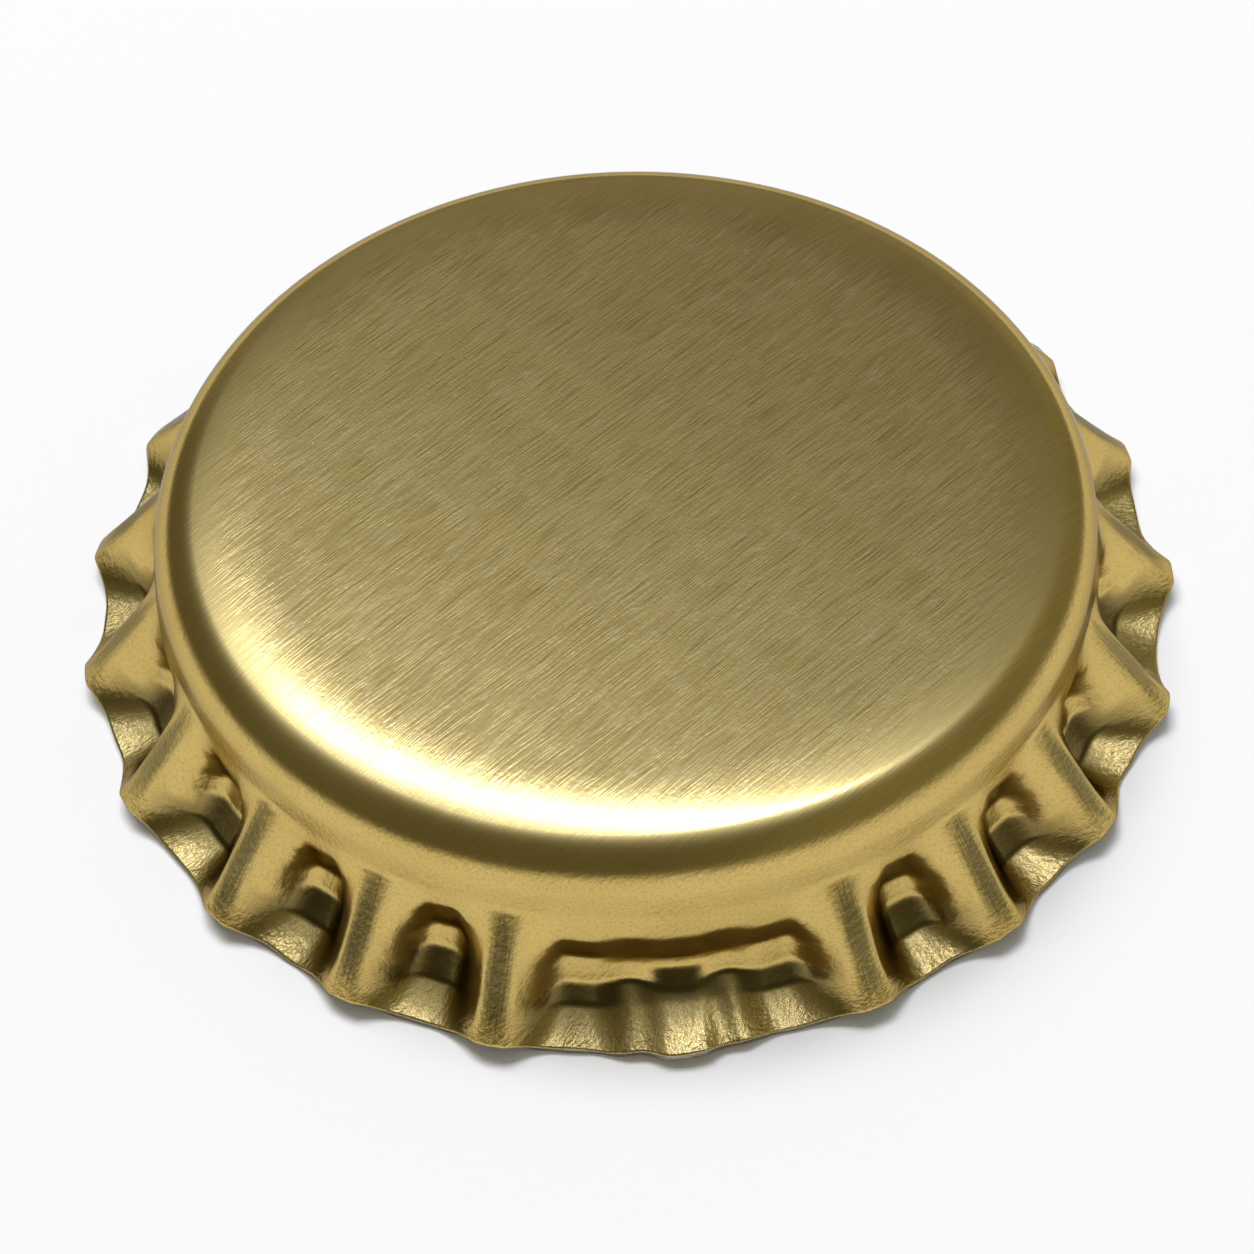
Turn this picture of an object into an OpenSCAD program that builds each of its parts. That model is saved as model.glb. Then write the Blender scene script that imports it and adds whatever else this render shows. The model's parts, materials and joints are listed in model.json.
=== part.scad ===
// Crown cap for a 26 mm bottle mouth: a fluted tinplate shell with a sealing liner inside.
// Sizes are in millimetres and degrees. The cap lies with its panel up and its rim's edge on z = 0.
// An azimuth of 0 is the front, at -Y, and it grows towards +X.

/* [Shell] */
// Thickness of the sheet
sheet_t = 0.24; // [0.18:0.01:0.3]
// Height from the rim's edge to the middle of the panel
height = 6; // [5.5:0.05:6.6]
// Bore of the straight wall, which slips over the bottle's mouth
bore_d = 26.74; // [26.2:0.02:27.2]
// Diameter over the tips of the ridges
tip_d = 32.1; // [31.4:0.02:33]
// Diameter over the rim between two ridges
rim_d = 31.08; // [30.4:0.02:31.8]

/* [Panel and shoulder] */
// Slope of the nearly flat panel at its edge
dome_slope = 1.2; // [0.6:0.1:2.4]
// Radius of the soft bend in which the panel runs into the shoulder
edge_arc = 17.4; // [12:0.2:20]
// Slope at which the shoulder's upper bend takes over from the soft one
edge_slope = 8; // [5:0.5:10]
// Radius of the shoulder's upper bend
crown_arc = 1.5; // [1.45:0.01:1.7]
// Radius of the shoulder's lower bend, which runs into the straight wall
corner_arc = 1.4; // [1:0.05:1.4]
// Angle above the horizontal at which the lower bend takes over from the upper one
corner_at = 45; // [30:1:55]
// Depth of the straight wall's lower edge below the middle of the panel
wall_drop = 2.12; // [2.1:0.01:2.3]

/* [Ridges] */
// Number of full ridges around the skirt
ridges = 20; // [16:1:21]
// Lift of the ridges' tips above the rim between them
tip_lift = 0.4; // [0.1:0.02:0.7]
// Half angle of the ridges' flat crest
ridge_flat = 1.2; // [0.4:0.1:1.6]
// Half angle at which the ridges' flanks reach the pockets
ridge_foot = 7.4; // [6:0.1:8]
// Hollowness of the ridges' flanks
ridge_power = 2; // [1.2:0.1:2.4]
// How far the ridges stray to either side from their even places
wander = 0.9; // [0:0.1:1.2]

/* [Front gap] */
// Azimuth of the middle of the front gap, where two ridges are only low nubs
gap_at = 3.6; // [-20:0.1:20]
// Angle between the two full ridges on either side of the gap
gap_angle = 38.1; // [34:0.1:42]
// Angle from the middle of the gap to each low nub
nub_offset = 5.6; // [5:0.1:7]
// Half angle of a low nub at its foot
nub_foot = 4; // [3.6:0.1:5.2]
// Diameter over the rim at the low nubs
nub_d = 31.44; // [31:0.02:32]
// Lift of the rim at the low nubs
nub_lift = 0.15; // [0:0.01:0.4]
// Half angle of the gap's middle pocket
front_foot = 5.6; // [5:0.1:7]
// Diameter over the flared rim of the gap's middle pocket
front_d = 31.9; // [31.4:0.02:32.4]
// Lift of the rim at the gap's middle pocket
front_lift = 0.3; // [0:0.02:0.5]

/* [Liner] */
// Gap between the liner and the shell that it's moulded into
liner_gap = 0.02; // [0.01:0.01:0.06]
// Height of the sealing band's face, on which the bottle's mouth seats
seal_z = 4.85; // [4.75:0.01:5]
// Height of the thin middle's lower face
film_z = 5.25; // [5.1:0.01:5.4]
// Inner radius of the flat sealing band
seal_inner_r = 9.9; // [9:0.1:10.8]
// Outer radius of the flat sealing band
seal_outer_r = 12.6; // [12:0.05:12.8]
// Width of the slope between the thin middle and the sealing band
seal_slope_w = 0.7; // [0.3:0.05:1.2]

/* [Hidden] */

wall_r = bore_d / 2 + sheet_t;
flute_z = height - wall_drop;

// Centres of the shoulder's bends, of the panel's soft edge and of the dome, each tangent to the next
corner_centre_r = wall_r - corner_arc;
crown_centre_r = corner_centre_r - (crown_arc - corner_arc) * cos(corner_at);
edge_centre_r = crown_centre_r - (edge_arc - crown_arc) * sin(edge_slope);
dome_arc = edge_centre_r / sin(dome_slope) + edge_arc;
dome_centre_z = height - dome_arc;
edge_centre_z = dome_centre_z + (dome_arc - edge_arc) * cos(dome_slope);
crown_centre_z = edge_centre_z + (edge_arc - crown_arc) * cos(edge_slope);
corner_centre_z = crown_centre_z + (crown_arc - corner_arc) * sin(corner_at);

// Paths down the skirt: each knot is [run along the sheet, slope from straight down,
// share of the scallop's drop that it follows]
crest_path = [
    [0, 2, 0], [0.06, 4, 0], [0.36, 38.3, 0], [4.12, 38.3, 0]];
apron_path = [
    [0, 2, 0], [0.3, 7, 0], [1.5, 9, 0], [2.86, 16, 0], [3.76, 70, 0], [4.66, 78, 0]];
pocket_path = [
    [0, 2, 0], [0.3, 8, 0], [0.54, 8, 1], [0.84, -15, 1], [1.84, -15, 1], [2.14, 20, 0.8],
    [2.57, 20, 0.6], [2.82, 45, 0.5], [3.63, 45, 0.3], [3.93, 72, 0.1], [4.98, 80, 0]];
lobe_path = [
    [0, 2, 0], [0.3, 8, 0], [0.87, 8, 1], [1.17, -11, 1], [1.84, -11, 1], [2.09, 18, 0.8],
    [2.7, 18, 0.6], [2.95, 44, 0.5], [3.41, 44, 0.3], [3.71, 66, 0.2], [4.16, 72, 0], [4.83, 80, 0]];
nub_path = [
    [0, 2, 0], [0.3, 8, 0], [0.8, 8, 0], [1.1, -11, 0], [2.2, -11, 0], [2.5, 20, 0], [2.85, 20, 0],
    [3.15, 70, 0], [5.1, 78, 0]];
front_path = [
    [0, 2, 0], [0.3, 8, 0], [0.91, 8, 0], [1.21, -10, 0], [2.07, -10, 0], [2.27, 18, 0], [2.31, 18, 0],
    [2.56, 46, 0], [2.96, 46, 0], [3.26, 66, 0], [3.78, 72, 0], [5.01, 84, 0]];

// The pockets' upper edge drops towards the ridges, between these angles from a ridge's middle
scallop_drop = 0.4;
scallop_from = 6.4;
scallop_to = 4.6;
// Between these angles the ridges' plain foot gives way to the pocket's recess
recess_from = 2.9;
recess_to = 5.4;
// The low nubs and the front pocket: flat half angles, shares of full height and hollowness
nub_flat = 0.3;
nub_power = 1.3;
nub_share = 1;
front_flat = 2.2;
lobe_flat = 15.4;
lobe_foot = 19.4;
// The ridges' stray, as a wave over the ridges' numbers
wander_turn = 60;
wander_start = 145;
// Angle by which the inner surface's flanks stand back, so that the sheet keeps its thickness there
flank_set = 0.45;
// Softness of a flank's foot and crest
flank_soft = 0.08;

// The rim's edge is cut square to the sheet, and its lowest corner is pressed flat on z = 0
rim_slope = 80;
rim_press = 0.035;
rim_z = sheet_t * sin(rim_slope) - rim_press;
rim_end = [rim_d / 2, rim_z];
tip_end = [tip_d / 2, rim_z + tip_lift];
nub_end = [nub_d / 2, rim_z + nub_lift];
front_end = [front_d / 2, rim_z + front_lift];

// The skirt's top is tucked this far up into the wall, and lies this far inside its surfaces
tuck = 0.25;
seam = 0.01;

// Steps of a walk down the skirt, and the steps at which a row of facets lies
walk_steps = 48;
row_steps = [0, 5, 8, 13, 17, 20, 24, 27, 31, 35, 38, 47, 48];
// Azimuths of the facets' edges, as shares of a ridge's half pitch and of half the front gap
ridge_shares = [-0.85, -0.61, -0.41, -0.25, -0.1, 0.1, 0.25, 0.41, 0.61, 0.85];
gap_shares = [-0.86, -0.72, -0.58, -0.47, -0.36, -0.25, -0.1, 0.1, 0.25, 0.36, 0.47, 0.58, 0.72, 0.86];
dome_steps = 6;
edge_steps = 6;
crown_steps = 10;
corner_steps = 10;

pitch = (360 - gap_angle) / (ridges - 1);
ridge_at = [for (k = [0 : ridges - 1])
    gap_at + gap_angle / 2 + k * pitch + wander * sin(wander_turn * k + wander_start)];
gap_reach = gap_angle / 2 - ridge_shares[9] * pitch / 2;
azimuths = concat(
    [for (share = gap_shares) gap_at + share * gap_reach],
    [for (at = ridge_at, share = ridge_shares) at + share * pitch / 2]);

// Smooth step from 0 to 1
function ease(t) = let (s = min(max(t, 0), 1)) s * s * (3 - 2 * s);

// Sum of a list, from its entry i on
function sum(v, i = 0) = i < len(v) ? v[i] + sum(v, i + 1) : 0;

// Height of a ridge's section, 1 on its crest and 0 past its foot, at an angle off its middle
function bar(off, flat, foot, power) =
    let (t = min(max((abs(off) - flat) / (foot - flat), 0), 1))
    pow(1 - (1 + flank_soft) * t * t / (t + flank_soft), power);

// Angle between two azimuths, taken the short way round
function turn(a, b) = let (d = (a - b + 540) % 360) abs(d - 180);

// Slope of the sheet after a run along a path
function slope(path, run) = path[0][1] + sum([for (j = [1 : len(path) - 1])
    (path[j][1] - path[j - 1][1]) * ease((run - path[j - 1][0]) / (path[j][0] - path[j - 1][0]))]);

// Points [radius, height] down the sheet's outer surface along a path. What the walk misses the
// end by is spread evenly along it.
function walk(path, end, drop = 0) =
    let (
        knots = [for (k = path) [k[0] + k[2] * drop, k[1]]],
        step = knots[len(knots) - 1][0] / walk_steps,
        slopes = [for (i = [0 : walk_steps - 1]) slope(knots, (i + 0.5) * step)],
        start = [wall_r - seam, flute_z],
        raw = [for (i = 0, p = start; i <= walk_steps;
            p = p + step * [sin(slopes[min(i, walk_steps - 1)]), -cos(slopes[min(i, walk_steps - 1)])],
            i = i + 1) p],
        miss = end - raw[walk_steps])
    [for (i = [0 : walk_steps]) raw[i] + miss * i / walk_steps];

// Points of a walk's rows: side 0 is the sheet's outer surface, and side 1 its inner surface
function rows(points, side) = [for (i = row_steps)
    let (
        along = points[min(i + 1, walk_steps)] - points[max(i - 1, 0)],
        t = sheet_t - 2 * seam * (1 - i / walk_steps))
    points[i] + side * t * [along[1], -along[0]] / norm(along)];

crest_rows = [for (side = [0, 1]) rows(walk(crest_path, tip_end), side)];
apron_rows = [for (side = [0, 1]) rows(walk(apron_path, rim_end), side)];
nub_rows = [for (side = [0, 1]) rows(walk(nub_path, nub_end), side)];
front_rows = [for (side = [0, 1]) rows(walk(front_path, front_end), side)];

// A section through the skirt at an azimuth: the pocket, the front gap's side pockets, its middle
// and its nubs, the ridge's foot and the ridge are laid over one another, each by its share.
function section(azimuth, side) =
    let (
        off = min([for (at = ridge_at) turn(azimuth, at)]),
        back = side * flank_set,
        drop = scallop_drop * ease((scallop_from - off) / (scallop_from - scallop_to)),
        ridge = bar(off + back, ridge_flat, ridge_foot, ridge_power),
        recess = ease((off + back - recess_from) / (recess_to - recess_from)),
        front = bar(turn(azimuth, gap_at) + back, front_flat, front_foot, 1),
        nub = nub_share * sum([for (g = [-1, 1])
            bar(turn(azimuth, gap_at + g * nub_offset) + back, nub_flat, nub_foot, nub_power)]),
        lobe = bar(turn(azimuth, gap_at) + back, lobe_flat, lobe_foot, 1),
        pocket_rows = rows(walk(pocket_path, rim_end, drop), side),
        lobe_rows = rows(walk(lobe_path, rim_end, drop), side))
    [for (i = [0 : len(row_steps) - 1])
        let (
            with_lobe = pocket_rows[i] + lobe * (lobe_rows[i] - pocket_rows[i]),
            with_front = with_lobe + front * (front_rows[side][i] - with_lobe),
            with_nubs = with_front + nub * (nub_rows[side][i] - with_front),
            apron = apron_rows[side][i],
            with_foot = apron + recess * (with_nubs - apron),
            p = with_foot + ridge * (crest_rows[side][i] - with_foot))
        [p[0], max(p[1], 0)]];

// A section with its tucked top row, turned to its azimuth
function column(azimuth, side) =
    let (s = section(azimuth, side))
    [for (p = concat([s[0] + [0, tuck]], s)) [p[0] * sin(azimuth), -p[0] * cos(azimuth), p[1]]];

// Points on an arc, without its first
function arc(centre, radius, from, to, steps) = [for (i = [1 : steps])
    let (a = from + (to - from) * i / steps)
    centre + radius * [cos(a), sin(a)]];

// Half outline of the cup from the axis to the top of the straight wall, set in from its surface
function cup_curve(inset) = concat(
    [[0, height - inset]],
    arc([0, dome_centre_z], dome_arc - inset, 90, 90 - dome_slope, dome_steps),
    arc([edge_centre_r, edge_centre_z], edge_arc - inset, 90 - dome_slope, 90 - edge_slope, edge_steps),
    arc([crown_centre_r, crown_centre_z], crown_arc - inset, 90 - edge_slope, corner_at, crown_steps),
    arc([corner_centre_r, corner_centre_z], corner_arc - inset, corner_at, 0, corner_steps));

function reversed(v) = [for (i = [len(v) - 1 : -1 : 0]) v[i]];

// Panel, shoulder and straight wall, turned in one piece
module cup() {
    rotate_extrude($fn = 180)
        polygon(concat(
            cup_curve(0),
            [[wall_r, flute_z], [wall_r - sheet_t, flute_z]],
            reversed(cup_curve(sheet_t))));
}

// Fluted skirt, as two fields of facets joined at the tucked top and at the rim
module skirt() {
    turns = len(azimuths);
    deep = len(row_steps) + 1;
    columns = [for (side = [0, 1]) [for (azimuth = azimuths) column(azimuth, side)]];
    points = [for (side = [0, 1], i = [0 : turns - 1], j = [0 : deep - 1]) columns[side][i][j]];
    function at(side, i, j) = (side * turns + i % turns) * deep + j;
    function quad(a, b, c, d) = [[a, b, c], [a, c, d]];
    outer = [for (i = [0 : turns - 1], j = [0 : deep - 2])
        each quad(at(0, i, j), at(0, i + 1, j), at(0, i + 1, j + 1), at(0, i, j + 1))];
    inner = [for (i = [0 : turns - 1], j = [0 : deep - 2])
        each quad(at(1, i, j + 1), at(1, i + 1, j + 1), at(1, i + 1, j), at(1, i, j))];
    top = [for (i = [0 : turns - 1]) each quad(at(1, i, 0), at(1, i + 1, 0), at(0, i + 1, 0), at(0, i, 0))];
    rim = [for (i = [0 : turns - 1])
        each quad(at(0, i, deep - 1), at(0, i + 1, deep - 1), at(1, i + 1, deep - 1), at(1, i, deep - 1))];
    polyhedron(points, concat(outer, inner, top, rim));
}

module crown_shell() {
    color([0.72, 0.6, 0.34])
        union() {
            cup();
            skirt();
        }
}

// Sealing disc: a thin middle and a raised flat band for the bottle's mouth
module liner() {
    curve = cup_curve(sheet_t + liner_gap);
    top = [for (p = curve) if (p[1] > (seal_z + film_z) / 2) p];
    color([0.86, 0.86, 0.82])
        rotate_extrude($fn = 180)
            polygon(concat(
                top,
                [[seal_outer_r, seal_z], [seal_inner_r, seal_z]],
                [[seal_inner_r - seal_slope_w, film_z], [0, film_z]]));
}

crown_shell();
liner();
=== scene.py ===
# A crown cap in brushed gold tinplate, lying on its rim with the panel up.
# Shapes are worked out in millimetres and degrees; an azimuth of 0 is the front, at -Y, and it grows
# towards +X.
import bpy
import json
import numpy as np
from mathutils import Matrix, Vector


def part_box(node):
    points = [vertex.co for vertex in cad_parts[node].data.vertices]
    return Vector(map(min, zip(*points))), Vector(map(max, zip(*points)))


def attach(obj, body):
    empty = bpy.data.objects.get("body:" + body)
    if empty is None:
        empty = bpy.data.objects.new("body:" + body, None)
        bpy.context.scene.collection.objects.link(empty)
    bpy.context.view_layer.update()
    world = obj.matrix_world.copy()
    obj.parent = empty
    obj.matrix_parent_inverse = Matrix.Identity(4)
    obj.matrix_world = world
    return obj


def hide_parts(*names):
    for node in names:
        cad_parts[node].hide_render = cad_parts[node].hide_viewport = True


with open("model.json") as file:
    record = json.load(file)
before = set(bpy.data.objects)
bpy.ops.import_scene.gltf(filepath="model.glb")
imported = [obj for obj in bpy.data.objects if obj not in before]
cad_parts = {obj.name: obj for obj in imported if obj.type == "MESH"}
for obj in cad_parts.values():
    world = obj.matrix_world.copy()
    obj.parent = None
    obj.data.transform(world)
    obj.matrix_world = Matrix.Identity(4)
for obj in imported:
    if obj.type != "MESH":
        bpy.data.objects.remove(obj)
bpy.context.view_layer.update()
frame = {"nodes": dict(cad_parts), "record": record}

mm = 0.001
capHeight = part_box("crown_shell")[1].z / mm
mounts = {m["name"]: m for m in frame["record"]["mounts"]}
boreR = mounts["neck_bore"]["dims"]["r_mm"]
print("frame loaded, with", len(frame["nodes"]), "nodes")

shellSizes = {
    "sheet": 0.24,              # thickness of the tinplate
    "domeSlope": 1.2,           # slope of the nearly flat panel at its edge
    "edgeArc": 17.4,            # soft bend in which the panel runs into the shoulder
    "edgeSlope": 8,             # slope at which the shoulder's upper bend takes over
    "crownArc": 1.5,            # upper bend of the shoulder
    "cornerArc": 1.4,           # lower bend of the shoulder
    "cornerAt": 45,             # where the lower bend takes over
    "wallSlope": 4,             # slope of the wall from straight down
    "wallDrop": 2.12,           # the wall's lower edge, below the top
    "tipDiameter": 32.1,        # over the ridges' tips
    "rimDiameter": 31.08,       # over the rim between two ridges
    "rimSlope": 80,             # slope of the sheet at the rim
    "rimPress": 0.035,          # how far the rim's lowest corner is pressed flat
    "ridges": 20,
    "tipLift": 0.4,             # height of the ridges' tips above the rim
    "ridgeFlat": 1.2,           # half angles of a ridge's flat crest and of its foot
    "ridgeFoot": 7.4,
    "ridgePower": 2.0,          # hollowness of its flanks
    "flankSoft": 0.08,          # how softly a crest runs into its flanks
    "wander": 0.9,              # the ridges stray from their even places by wander x sin(turn x k + start)
    "wanderTurn": 60,
    "wanderStart": 145,
    "gapAt": 3.6,               # middle of the front gap, where two ridges are only low nubs
    "gapAngle": 38.1,           # from the last full ridge before the gap to the first one after it
    "nubOffset": 5.6,           # from the gap's middle to each nub
    "nubFlat": 0.3,
    "nubFoot": 4.0,
    "nubPower": 1.3,
    "nubDiameter": 31.44,
    "nubLift": 0.15,
    "lobeFlat": 15.4,           # half angles of the gap's whole pocket
    "lobeFoot": 19.4,
    "frontFlat": 2.2,           # half angles of its flared middle
    "frontFoot": 5.6,
    "frontDiameter": 31.9,
    "frontLift": 0.3,
    "scallopDrop": 0.4,         # the pockets' upper edge drops towards the ridges
    "scallopFrom": 6.4,         # and does so between these angles from a ridge
    "scallopTo": 4.6,
    "recessFrom": 2.9,          # angles from a ridge between which its apron gives way to the pocket
    "recessTo": 5.4,
    "lipStray": 0.07,           # how far the pockets' upper edges stray up and down
    "lipWaves": ((7, 40), (17, 200)),   # waves round the cap and their phases
    "dentDepth": 0.16,          # the drawn sheet's small dents
    "dentWaves": 30,
    "dentAround": (9, 64),      # least and most waves round the cap
    "dentDown": 9,              # largest phase from the wall down to the rim
    "dentSeed": 7,
    "flankSet": 0.45,           # the inner side's flanks stand back by this angle
    "crestWearFlat": 0.2,       # half angles of the ridges' worn crests
    "crestWearFoot": 2.4,
    "crestWearPower": 0.5,      # how fast the wear sets in down the ridge, and ends again
    "creaseUnder": 0.12,        # strength of the painted shade in the creases under the wall, beside that in the pockets' bends
    "creaseFull": 8,            # slope back under the wall at which the painted shade of a crease is at its darkest
    "bendFrom": 30,             # slopes between which painted shade grows on a bend, and between which it fades again
    "bendFull": 44,
    "bendFade": 58,
    "bendTo": 82,
    "grainAngle": 42,           # brushing direction on the panel, from +X towards +Y
    "columns": 600,
    "skirtRows": 68,
    "innerRows": 30,
    "cupRows": (8, 8, 12, 10),  # in the dome, the panel's edge and the two bends, outside and inside
    "cupRowsInside": (4, 4, 6, 6),
    "wallRows": (0.4, 0.15),    # heights of the wall's rows above its lower edge
    "wallRowInside": 0.2,
    "edgeRows": (0.12, 0.88),   # shares of the way across the cut edge
}

# paths down the skirt: each knot is (run along the sheet, slope from straight down, share of the
# scallop's drop)
paths = {
    "crest": [
        (0, 4, 0), (0.06, 4, 0), (0.36, 38.3, 0), (4.12, 38.3, 0)],
    "apron": [
        (0, 4, 0), (0.3, 7, 0), (1.5, 9, 0), (2.86, 16, 0), (3.76, 70, 0), (4.66, 78, 0)],
    "pocket": [
        (0, 4, 0), (0.3, 8, 0), (0.54, 8, 1), (0.84, -15, 1), (1.84, -15, 1), (2.14, 20, 0.8),
        (2.57, 20, 0.6), (2.82, 45, 0.5), (3.55, 45, 0.3), (3.78, 82, 0.1), (4.98, 87, 0)],
    "lobe": [
        (0, 4, 0), (0.3, 8, 0), (0.87, 8, 1), (1.17, -11, 1), (1.84, -11, 1), (2.09, 18, 0.8),
        (2.7, 18, 0.6), (2.95, 44, 0.5), (3.37, 44, 0.3), (3.6, 78, 0.2), (4.0, 82, 0), (4.83, 87, 0)],
    "nub": [
        (0, 4, 0), (0.3, 8, 0), (0.8, 8, 0), (1.1, -11, 0), (2.2, -11, 0), (2.5, 20, 0), (2.85, 20, 0),
        (3.15, 70, 0), (5.1, 78, 0)],
    "front": [
        (0, 4, 0), (0.3, 8, 0), (0.91, 8, 0), (1.21, -10, 0), (2.07, -10, 0), (2.27, 18, 0),
        (2.31, 18, 0), (2.56, 46, 0), (2.94, 46, 0), (3.24, 70, 0), (3.6, 80, 0), (5.01, 87, 0)],
}


# smooth step: 3 t^2 - 2 t^3 between 0 and 1
def ease(t):
    t = np.clip(t, 0, 1)
    return t * t * (3 - 2 * t)


# height of a ridge's section: 1 on its flat crest, 0 past its foot, and (1 - t)^power between them
def barSection(off, flat, foot, power, soft):
    t = np.clip((np.abs(off) - flat) / (foot - flat), 0, 1)
    return (1 - (1 + soft) * t * t / (t + soft)) ** power


# angle from one azimuth to another, the short way round
def turn(a, b):
    return (a - b + 180) % 360 - 180


# a walk down the sheet: the slope eases from knot to knot, the points are its running sum, and what the
# walk misses its end by is spread evenly along it; gives (radius, height) for each step and column
def walkDown(knots, start, end, drop, steps):
    runs = [k[0] + k[2] * drop for k in knots]
    run = (np.arange(steps) + 0.5)[:, None] / steps * knots[-1][0]
    slope = np.full((steps, len(drop)), float(knots[0][1]))
    for j in range(1, len(knots)):
        slope = slope + (knots[j][1] - knots[j - 1][1]) * ease((run - runs[j - 1]) / (runs[j] - runs[j - 1]))
    slope = np.radians(slope)
    step = knots[-1][0] / steps
    moves = np.stack([np.sin(slope), -np.cos(slope)], -1) * step
    points = np.concatenate([np.zeros((1,) + moves.shape[1:]), np.cumsum(moves, 0)]) + np.array(start)
    share = np.linspace(0, 1, steps + 1)[:, None, None]
    return points + share * (np.array(end) - points[-1:])


# the same walk set in from the sheet's outer surface by a depth, square to the path
def setIn(points, depth):
    along = np.gradient(points, axis=0)
    along = along / np.linalg.norm(along, axis=-1, keepdims=True)
    return points + depth * np.stack([along[..., 1], -along[..., 0]], -1)


# angle from each azimuth to the middle of the nearest ridge: the ridges stand evenly from one side of the gap
# round to the other, each moved by its stray
def ridgeOff(c, azimuth):
    pitch = (360 - c["gapAngle"]) / (c["ridges"] - 1)
    k = np.arange(c["ridges"])
    stray = c["wander"] * np.sin(np.radians(c["wanderTurn"] * k + c["wanderStart"]))
    ridgeAt = c["gapAt"] + c["gapAngle"] / 2 + k * pitch + stray
    return np.abs(turn(azimuth[:, None], ridgeAt)).min(1)


# dents of the drawn sheet: a sum of waves round and down the skirt, growing towards the rim
def dents(c, azimuth, steps):
    random = np.random.default_rng(c["dentSeed"])
    waves = (2, c["dentWaves"])
    around = random.integers(*c["dentAround"], waves)
    down = random.uniform(-c["dentDown"], c["dentDown"], waves)
    phase = random.uniform(0, 2 * np.pi, waves)
    run = np.linspace(0, 1, steps + 1)[:, None, None, None]
    a = np.radians(azimuth)[None, :, None, None]
    return c["dentDepth"] * np.sin(around * a + down * run + phase).mean(-1) * run[..., 0] ** 2


# the skirt's section at each azimuth: pocket, gap pocket, front, nubs, ridge foot and ridge are laid over
# one another, each by its share; depth 0 is the outer surface and the sheet's thickness the inner one
def skirtSections(c, azimuth, start, depth, steps):
    off = ridgeOff(c, azimuth)
    back = c["flankSet"] * depth / c["sheet"]
    drop = c["scallopDrop"] * ease((c["scallopFrom"] - off) / (c["scallopFrom"] - c["scallopTo"]))
    lip = c["lipStray"] * sum(np.sin(np.radians(n * azimuth + phase)) for n, phase in c["lipWaves"])
    rimZ = c["sheet"] * np.sin(np.radians(c["rimSlope"])) - c["rimPress"]
    ends = {
        "crest": (c["tipDiameter"] / 2, rimZ + c["tipLift"]),
        "pocket": (c["rimDiameter"] / 2, rimZ),
        "apron": (c["rimDiameter"] / 2, rimZ),
        "lobe": (c["rimDiameter"] / 2, rimZ),
        "nub": (c["nubDiameter"] / 2, rimZ + c["nubLift"]),
        "front": (c["frontDiameter"] / 2, rimZ + c["frontLift"]),
    }
    s = {n: setIn(walkDown(paths[n], start, ends[n], lip + drop, steps), depth) for n in paths}
    soft = c["flankSoft"]
    ridge = barSection(off + back, c["ridgeFlat"], c["ridgeFoot"], c["ridgePower"], soft)[:, None]
    recess = ease((off + back - c["recessFrom"]) / (c["recessTo"] - c["recessFrom"]))[:, None]
    gapOff = np.abs(turn(azimuth, c["gapAt"])) + back
    front = barSection(gapOff, c["frontFlat"], c["frontFoot"], 1, soft)[:, None]
    lobe = barSection(gapOff, c["lobeFlat"], c["lobeFoot"], 1, soft)[:, None]
    nub = sum(
        barSection(np.abs(turn(azimuth, c["gapAt"] + g * c["nubOffset"])) + back,
                   c["nubFlat"], c["nubFoot"], c["nubPower"], soft)
        for g in (-1, 1))[:, None]
    section = s["pocket"]
    section = section + lobe * (s["lobe"] - section)
    section = section + front * (s["front"] - section)
    section = section + nub * (s["nub"] - section)
    section = s["apron"] + recess * (section - s["apron"])
    section = section + ridge * (s["crest"] - section) + dents(c, azimuth, steps)
    section[..., 1] = np.maximum(section[..., 1], 0)
    return section


# points on an arc, without its first: centre + radius x (cosine, sine)
def arcPoints(centre, radius, fromAngle, toAngle, steps):
    a = np.radians(fromAngle + (toAngle - fromAngle) * np.arange(1, steps + 1) / steps)
    return np.array(centre) + radius * np.stack([np.cos(a), np.sin(a)], -1)


# unit vector at an angle: (cosine, sine)
def heading(angle):
    return np.array([np.cos(np.radians(angle)), np.sin(np.radians(angle))])


# half outline of the cup from near the axis to the top of the straight wall, set in by a depth: the dome,
# the panel's soft edge and the shoulder's two bends are arcs, each tangent to the next
def cupCurve(c, height, wallR, depth, steps):
    dome, edge, corner = c["domeSlope"], c["edgeSlope"], c["cornerAt"]
    crownR = wallR - c["cornerArc"] - (c["crownArc"] - c["cornerArc"]) * heading(corner)[0]
    edgeR = crownR - (c["edgeArc"] - c["crownArc"]) * heading(90 - edge)[0]
    domeArc = edgeR / heading(90 - dome)[0] + c["edgeArc"]
    domeAt = np.array([0, height - domeArc])
    edgeAt = domeAt + (domeArc - c["edgeArc"]) * heading(90 - dome)
    crownAt = edgeAt + (c["edgeArc"] - c["crownArc"]) * heading(90 - edge)
    cornerAt = crownAt + (c["crownArc"] - c["cornerArc"]) * heading(corner)
    return np.concatenate([
        arcPoints(domeAt, domeArc - depth, 90, 90 - dome, steps[0]),
        arcPoints(edgeAt, c["edgeArc"] - depth, 90 - dome, 90 - edge, steps[1]),
        arcPoints(crownAt, c["crownArc"] - depth, 90 - edge, corner, steps[2]),
        arcPoints(cornerAt, c["cornerArc"] - depth, corner, c["wallSlope"], steps[3])])


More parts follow.
